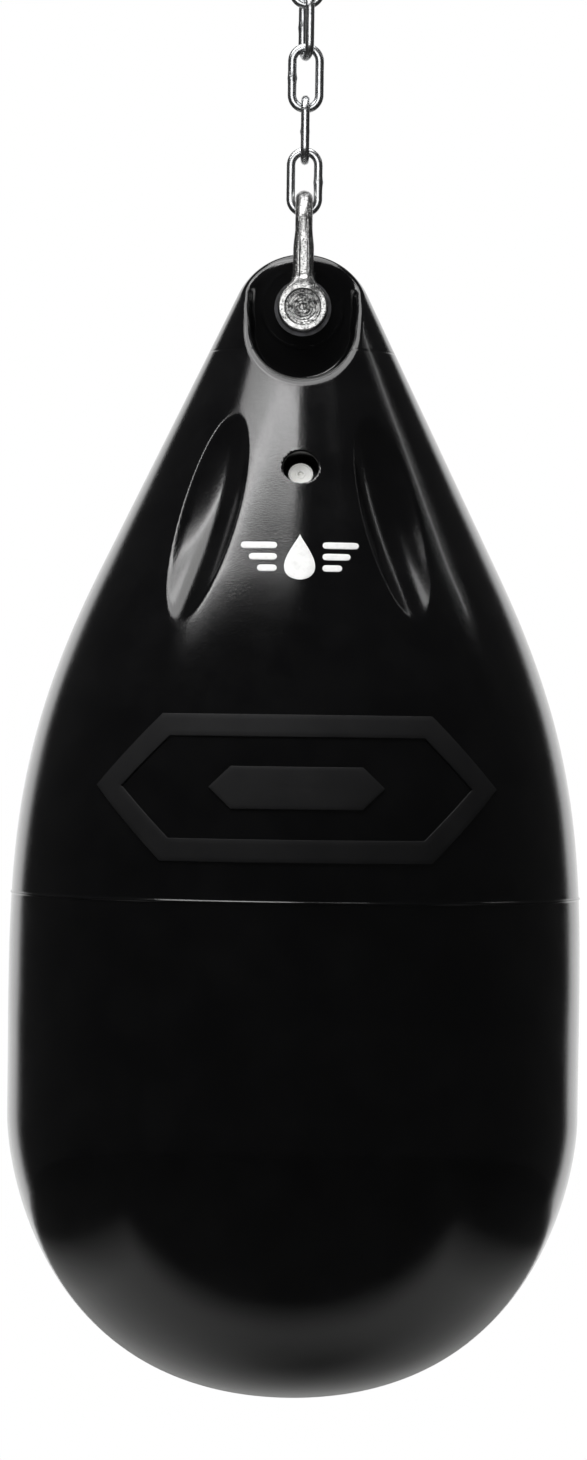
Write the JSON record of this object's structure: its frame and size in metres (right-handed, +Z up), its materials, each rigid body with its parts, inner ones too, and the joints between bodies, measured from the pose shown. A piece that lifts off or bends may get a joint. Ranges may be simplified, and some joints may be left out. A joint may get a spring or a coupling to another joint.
{
  "type": "heavy punching bag",
  "caption": "Teardrop heavy punching bag: a glossy moulded water-filled shell with a pocketed nose, hung by a long shackle, a welded chain and a ball-bearing swivel.",
  "frame": {"origin": "centre of the bore of the swivel's upper eye, where the bag is hung up", "axes": "+Z up along the chain and the bag's own axis; the front, with the valve, faces -Y; +X is to the right seen from the front; the eye's bore runs along Y"},
  "size_m": [0.4134, 0.4134, 1.1339],
  "materials": {
    "forged_steel": "zinc-plated forging, satin, with a fine pitted texture",
    "plated_steel": "bright zinc plate",
    "chain_steel": "bright zinc plate over welded wire",
    "turned_steel": "turned face, zinc-plated",
    "dark_steel": "blackened steel",
    "bearing_steel": "ground and polished",
    "cage_brass": "machined",
    "vinyl": "glossy black vinyl with a faint moulded grain",
    "water": "clear water",
    "valve_plastic": "moulded black nylon",
    "plug_nylon": "moulded white nylon",
    "rubber": "black rubber"
  },
  "bodies": {
    "swivel_stem": {"swivel_eye_stem": "forged_steel", "swivel_nut": "plated_steel", "swivel_cotter": "plated_steel", "bearing_race_lower": "bearing_steel"},
    "ball_cage": {"bearing_balls": "bearing_steel", "bearing_cage": "cage_brass"},
    "yoke": {"swivel_yoke": "forged_steel", "bearing_race_upper": "bearing_steel"},
    "link_5": {"chain_link_5": "chain_steel"},
    "link_4": {"chain_link_4": "chain_steel"},
    "link_3": {"chain_link_3": "chain_steel"},
    "link_2": {"chain_link_2": "chain_steel"},
    "link_1": {"chain_link_1": "chain_steel"},
    "shackle": {"shackle_bow": "forged_steel", "shackle_pin": "turned_steel", "shackle_nut": "plated_steel", "shackle_cotter": "plated_steel", "spacer_washers": "dark_steel"},
    "bag": {"nose_block": "vinyl", "bag_skin": "vinyl", "water_fill": "water", "hanger_sleeve": "dark_steel", "valve_body": "valve_plastic", "valve_gasket": "rubber", "valve_locknut": "valve_plastic"},
    "plug_seal": {"plug_oring": "rubber"},
    "plug": {"valve_plug": "plug_nylon"}
  },
  "joints": [
    {"name": "swivel_turn", "type": "hinge", "parent": "swivel_stem", "child": "yoke", "pos_m": [0, 0, -0.034], "axis": [0, 0, 1], "continuous": true},
    {"name": "cage_turn", "type": "hinge", "parent": "swivel_stem", "child": "ball_cage", "pos_m": [0, 0, -0.038], "axis": [0, 0, 1], "continuous": true},
    {"name": "link_5_swing", "type": "hinge", "parent": "yoke", "child": "link_5", "pos_m": [0, 0, -0.074], "axis": [0, 1, 0], "range_deg": [-30, 30]},
    {"name": "link_4_swing", "type": "hinge", "parent": "link_5", "child": "link_4", "pos_m": [0, 0, -0.10985], "axis": [1, 0, 0], "range_deg": [-30, 30]},
    {"name": "link_3_swing", "type": "hinge", "parent": "link_4", "child": "link_3", "pos_m": [0, 0, -0.14755], "axis": [-0.2588, 0.9659, 0], "range_deg": [-30, 30]},
    {"name": "link_2_swing", "type": "hinge", "parent": "link_3", "child": "link_2", "pos_m": [0, 0, -0.18525], "axis": [1, 0, 0], "range_deg": [-30, 30]},
    {"name": "link_1_swing", "type": "hinge", "parent": "link_2", "child": "link_1", "pos_m": [0, 0, -0.22295], "axis": [0, 1, 0], "range_deg": [-30, 30]},
    {"name": "shackle_swing", "type": "hinge", "parent": "link_1", "child": "shackle", "pos_m": [0, 0, -0.26065], "axis": [1, 0, 0], "range_deg": [-30, 30]},
    {"name": "bag_swing", "type": "hinge", "parent": "shackle", "child": "bag", "pos_m": [0, 0, -0.3307], "axis": [0, 1, 0], "range_deg": [-45, 45]},
    {"name": "plug_lift", "type": "slide", "parent": "bag", "child": "plug_seal", "axis": [0, -0.9, 0.4359], "range_m": [0, 0.015]},
    {"name": "plug_turn", "type": "hinge", "parent": "plug_seal", "child": "plug", "pos_m": [0, -0.10959, -0.4499], "axis": [0, -0.9, 0.4359], "range_deg": [0, 1800]}
  ],
  "couplings": [
    {"joint": "cage_turn", "follows": "swivel_turn", "ratio": 0.5},
    {"joint": "plug_turn", "follows": "plug_lift", "rad_per_m": 2094.4}
  ]
}
